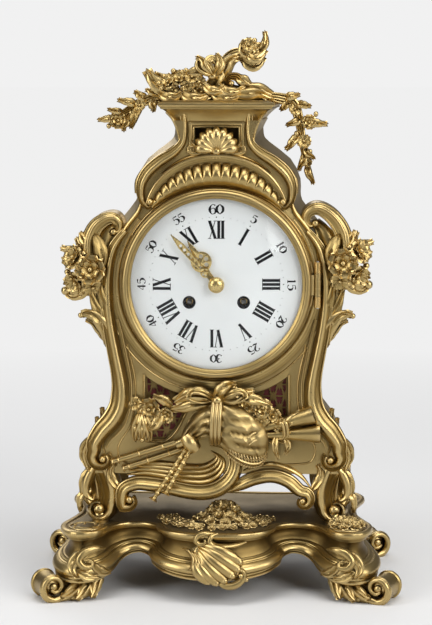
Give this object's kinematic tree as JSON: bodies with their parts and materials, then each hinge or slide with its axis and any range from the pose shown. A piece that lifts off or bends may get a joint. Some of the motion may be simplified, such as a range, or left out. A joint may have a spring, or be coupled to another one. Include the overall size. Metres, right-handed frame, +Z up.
{
  "type": "mantel clock",
  "caption": "Footed gilt mantel clock: scrolled waisted case on four legs, round enamel dial under a hinged domed glass, pierced side frets, ornament mounts, winding movement and bell",
  "frame": {"origin": "centre of the footprint's bounding box, on the surface the feet stand on", "axes": "+Z up, the dial faces -Y, +X to the right seen from the front"},
  "size_m": [0.3238, 0.2075, 0.4988],
  "materials": {
    "gilt_bronze": "cast, chased and satin gilt, burnished on the edges",
    "dark_gilt_bronze": "plain cast, dull gilt",
    "polished_brass": "fine-brushed, lacquered",
    "gilt_hands": "pierced, burnished gilt",
    "bell_metal": "turned, dull",
    "bright_steel": "polished",
    "blued_steel": "turned, darkened",
    "white_enamel": "glossy fired enamel with black numerals",
    "red_silk": "stretched plain silk",
    "dial_glass": "clear domed glass"
  },
  "bodies": {
    "clock": {"base_platform": "gilt_bronze", "foot_front_left": "gilt_bronze", "foot_front_right": "gilt_bronze", "foot_rear_left": "gilt_bronze", "foot_rear_right": "gilt_bronze", "skirt_shell": "gilt_bronze", "base_bolts": "blued_steel", "case_front": "gilt_bronze", "case_walls": "gilt_bronze", "case_back": "gilt_bronze", "cornice": "gilt_bronze", "fluted_hood": "gilt_bronze", "neck_shell": "gilt_bronze", "left_frame_scroll": "gilt_bronze", "right_frame_scroll": "gilt_bronze", "left_side_mount": "gilt_bronze", "right_side_mount": "gilt_bronze", "leg_front_left": "gilt_bronze", "leg_front_right": "gilt_bronze", "leg_rear_left": "gilt_bronze", "leg_rear_right": "gilt_bronze", "front_apron": "gilt_bronze", "rear_apron": "dark_gilt_bronze", "left_fret": "gilt_bronze", "right_fret": "gilt_bronze", "silk_backing": "red_silk", "trophy_bag": "gilt_bronze", "trophy_pipes": "gilt_bronze", "trophy_horns": "gilt_bronze", "trophy_flowers": "gilt_bronze", "crest": "gilt_bronze", "left_garland": "gilt_bronze", "right_garland": "gilt_bronze", "dial": "white_enamel", "bezel_seat": "polished_brass", "bezel_hinge_pin": "bright_steel", "front_plate": "polished_brass", "back_plate": "polished_brass", "plate_pillars": "polished_brass", "bell": "bell_metal", "back_door_pin": "bright_steel"},
    "bezel_door": {"bezel": "gilt_bronze", "dial_glass": "dial_glass"},
    "minute_hand_set": {"minute_hand": "gilt_hands", "cannon_pinion": "bright_steel"},
    "hour_hand_set": {"hour_hand": "gilt_hands", "hour_wheel": "polished_brass"},
    "minute_wheel_set": {"minute_wheel": "polished_brass"},
    "centre_set": {"centre_wheel": "polished_brass"},
    "intermediate_set": {"intermediate_wheel": "polished_brass"},
    "third_set": {"third_wheel": "polished_brass"},
    "escape_set": {"escape_wheel": "polished_brass"},
    "going_barrel_set": {"going_barrel": "polished_brass"},
    "going_winder": {"going_arbor": "bright_steel"},
    "strike_barrel_set": {"strike_barrel": "polished_brass"},
    "strike_winder": {"strike_arbor": "bright_steel"},
    "pendulum_set": {"pallet_anchor": "bright_steel", "pendulum": "polished_brass"},
    "hammer_set": {"bell_hammer": "bright_steel"},
    "rear_door": {"back_door": "gilt_bronze"}
  },
  "joints": [
    {"name": "bezel_opening", "type": "hinge", "parent": "clock", "child": "bezel_door", "pos_m": [0.089, -0.058, 0.278], "axis": [0, 0, 1], "range_deg": [0, 85]},
    {"name": "hand_setting", "type": "hinge", "parent": "clock", "child": "minute_hand_set", "pos_m": [0, -0.0609, 0.278], "axis": [0, 1, 0], "continuous": true},
    {"name": "minute_wheel_turn", "type": "hinge", "parent": "clock", "child": "minute_wheel_set", "pos_m": [0.0075, -0.046, 0.29099], "axis": [0, 1, 0], "continuous": true},
    {"name": "hour_turn", "type": "hinge", "parent": "clock", "child": "hour_hand_set", "pos_m": [0, -0.0575, 0.278], "axis": [0, 1, 0], "continuous": true},
    {"name": "escape_turn", "type": "hinge", "parent": "clock", "child": "escape_set", "pos_m": [0, -0.035, 0.30205], "axis": [0, 1, 0], "continuous": true},
    {"name": "third_turn", "type": "hinge", "parent": "clock", "child": "third_set", "pos_m": [-0.00707, -0.028, 0.29129], "axis": [0, 1, 0], "continuous": true},
    {"name": "centre_turn", "type": "hinge", "parent": "clock", "child": "centre_set", "pos_m": [0, -0.024, 0.278], "axis": [0, 1, 0], "continuous": true},
    {"name": "intermediate_turn", "type": "hinge", "parent": "clock", "child": "intermediate_set", "pos_m": [0.01658, -0.02, 0.28218], "axis": [0, 1, 0], "continuous": true},
    {"name": "going_barrel_turn", "type": "hinge", "parent": "clock", "child": "going_barrel_set", "pos_m": [0.024, -0.032, 0.262], "axis": [0, 1, 0], "continuous": true},
    {"name": "going_winding", "type": "hinge", "parent": "clock", "child": "going_winder", "pos_m": [0.024, -0.03, 0.262], "axis": [0, 1, 0], "continuous": true},
    {"name": "strike_barrel_turn", "type": "hinge", "parent": "clock", "child": "strike_barrel_set", "pos_m": [-0.024, -0.032, 0.262], "axis": [0, 1, 0], "continuous": true},
    {"name": "strike_winding", "type": "hinge", "parent": "clock", "child": "strike_winder", "pos_m": [-0.024, -0.03, 0.262], "axis": [0, 1, 0], "continuous": true},
    {"name": "pendulum_swing", "type": "hinge", "parent": "clock", "child": "pendulum_set", "pos_m": [0, -0.008, 0.31455], "axis": [0, 1, 0], "range_deg": [-3, 3]},
    {"name": "hammer_lift", "type": "hinge", "parent": "clock", "child": "hammer_set", "pos_m": [0.046, 0, 0.273], "axis": [0, 1, 0], "range_deg": [0, 14]},
    {"name": "rear_door_opening", "type": "hinge", "parent": "clock", "child": "rear_door", "pos_m": [0.062, 0.0645, 0.264], "axis": [0, 0, -1], "range_deg": [0, 110]}
  ],
  "couplings": [
    {"joint": "minute_wheel_turn", "follows": "hand_setting", "ratio": -0.33333},
    {"joint": "hour_turn", "follows": "hand_setting", "ratio": 0.083333},
    {"joint": "third_turn", "follows": "escape_turn", "ratio": -0.14706},
    {"joint": "centre_turn", "follows": "escape_turn", "ratio": 0.01935},
    {"joint": "intermediate_turn", "follows": "escape_turn", "ratio": -0.0029318},
    {"joint": "going_barrel_turn", "follows": "escape_turn", "ratio": 0.00038576}
  ]
}
